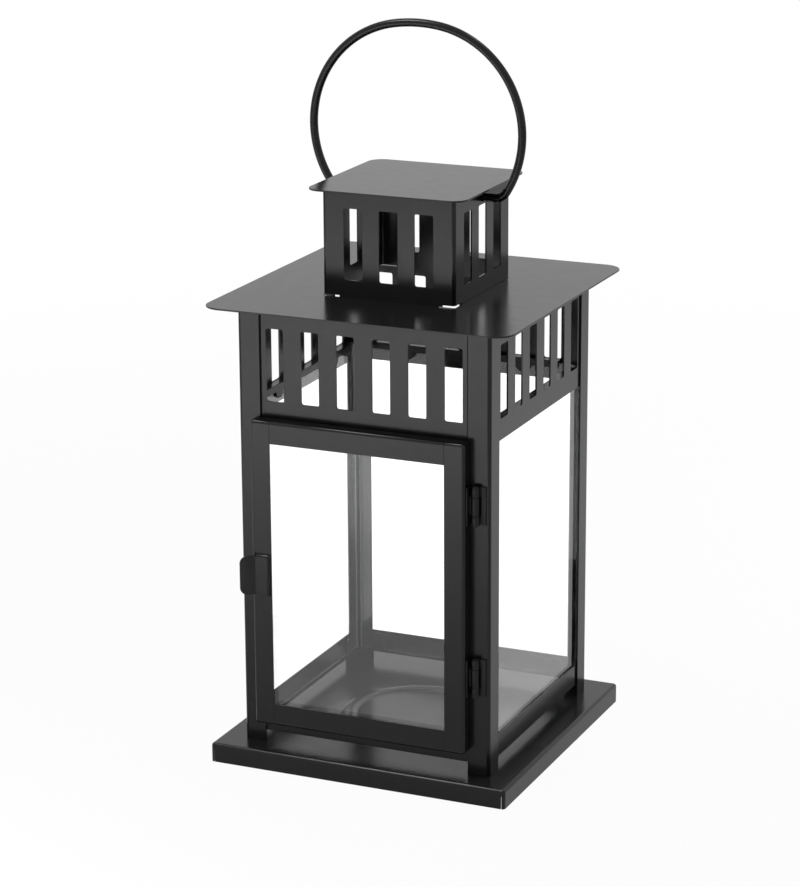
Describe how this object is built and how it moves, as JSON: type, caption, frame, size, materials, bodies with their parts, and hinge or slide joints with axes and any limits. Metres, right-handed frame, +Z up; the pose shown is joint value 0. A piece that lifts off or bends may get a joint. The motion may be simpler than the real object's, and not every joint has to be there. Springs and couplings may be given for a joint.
{
  "type": "grave lantern",
  "caption": "Square sheet-metal candle lantern with glass sides, a hinged glass door, slotted vents under a flat roof, a slotted chimney and a round wire bail.",
  "frame": {"origin": "middle of the base on the ground", "axes": "+Z up, -Y towards the door, +X towards the hinge side"},
  "size_m": [0.1564, 0.1564, 0.3591],
  "materials": {
    "black_powder_coat": "satin powder coat on folded sheet",
    "black_wire": "satin paint on round wire",
    "black_hinge": "satin paint on rolled hinge leaves",
    "black_spring_strip": "satin paint on thin strip",
    "clear_glass": "clear float glass with cut edges"
  },
  "bodies": {
    "lantern_body": {"back_rail": "black_powder_coat", "base_tray": "black_powder_coat", "chimney_box": "black_powder_coat", "chimney_cap": "black_powder_coat", "corner_post_back_left": "black_powder_coat", "corner_post_back_right": "black_powder_coat", "corner_post_front_left": "black_powder_coat", "corner_post_front_right": "black_powder_coat", "front_sill": "black_powder_coat", "glass_back": "clear_glass", "glass_channel_back": "black_spring_strip", "glass_channel_left": "black_spring_strip", "glass_channel_right": "black_spring_strip", "glass_left": "clear_glass", "glass_right": "clear_glass", "left_rail": "black_powder_coat", "lower_hinge_pin": "black_hinge", "lower_hinge_post_leaf": "black_hinge", "right_rail": "black_powder_coat", "roof_plate": "black_powder_coat", "upper_hinge_pin": "black_hinge", "upper_hinge_post_leaf": "black_hinge", "vent_panel_back": "black_powder_coat", "vent_panel_front": "black_powder_coat", "vent_panel_left": "black_powder_coat", "vent_panel_right": "black_powder_coat"},
    "door": {"door_catch": "black_spring_strip", "door_glass": "clear_glass", "door_glass_clips": "black_spring_strip", "door_latch": "black_powder_coat", "door_rail_bottom": "black_powder_coat", "door_rail_top": "black_powder_coat", "door_stile_left": "black_powder_coat", "door_stile_right": "black_powder_coat", "lower_hinge_door_leaf": "black_hinge", "upper_hinge_door_leaf": "black_hinge"},
    "handle": {"bail_handle": "black_wire"}
  },
  "joints": [
    {"name": "door_hinge", "type": "hinge", "parent": "lantern_body", "child": "door", "pos_m": [0.05815, -0.0669, 0.1022], "axis": [0, 0, 1], "range_deg": [0, 135]},
    {"name": "bail_swing", "type": "hinge", "parent": "lantern_body", "child": "handle", "pos_m": [0, 0, 0.2761], "axis": [1, 0, 0], "range_deg": [-123, 123]}
  ]
}
